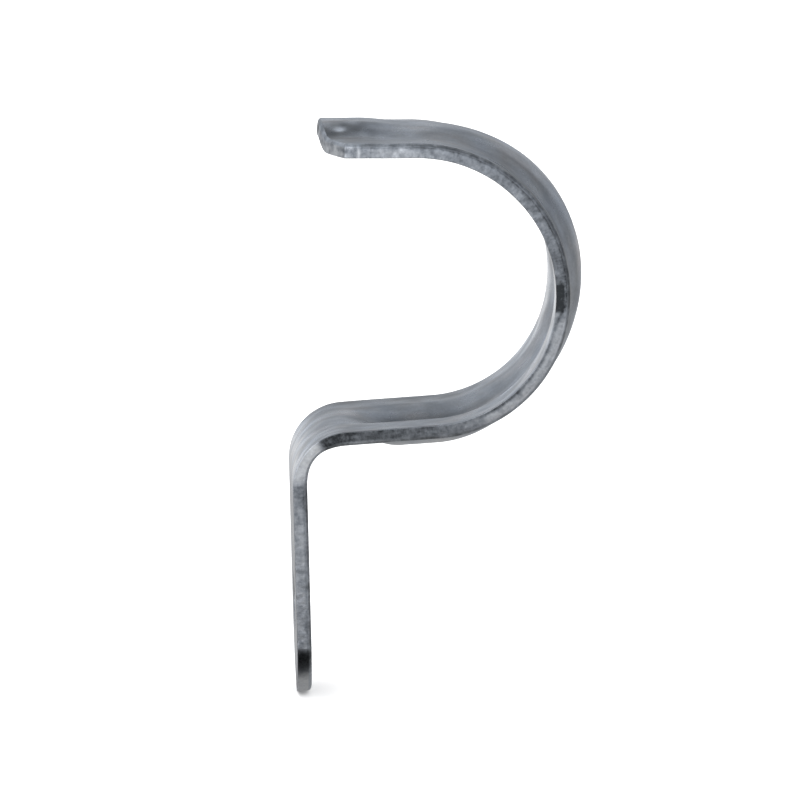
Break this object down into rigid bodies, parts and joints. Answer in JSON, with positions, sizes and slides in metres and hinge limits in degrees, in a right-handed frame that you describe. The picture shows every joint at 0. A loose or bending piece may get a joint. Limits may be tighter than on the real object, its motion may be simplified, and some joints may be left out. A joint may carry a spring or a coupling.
{
  "type": "frame grip",
  "caption": "Pressed steel P-shaped strap: a flat screw-down tab, a right-angle bend and an open ribbed ring that grips a round or square bar against a surface.",
  "frame": {"origin": "on the back face of the tab, at mid-width, between the screw hole and the bend", "axes": "+X out from the mounting surface, +Y across the strip, +Z along the tab towards the ring"},
  "size_m": [0.0328, 0.019, 0.0643],
  "materials": {
    "plated_steel": "bright zinc plating over pressed mild steel, with sheared edges"
  },
  "bodies": {
    "root": {"strap": "plated_steel"}
  },
  "joints": []
}
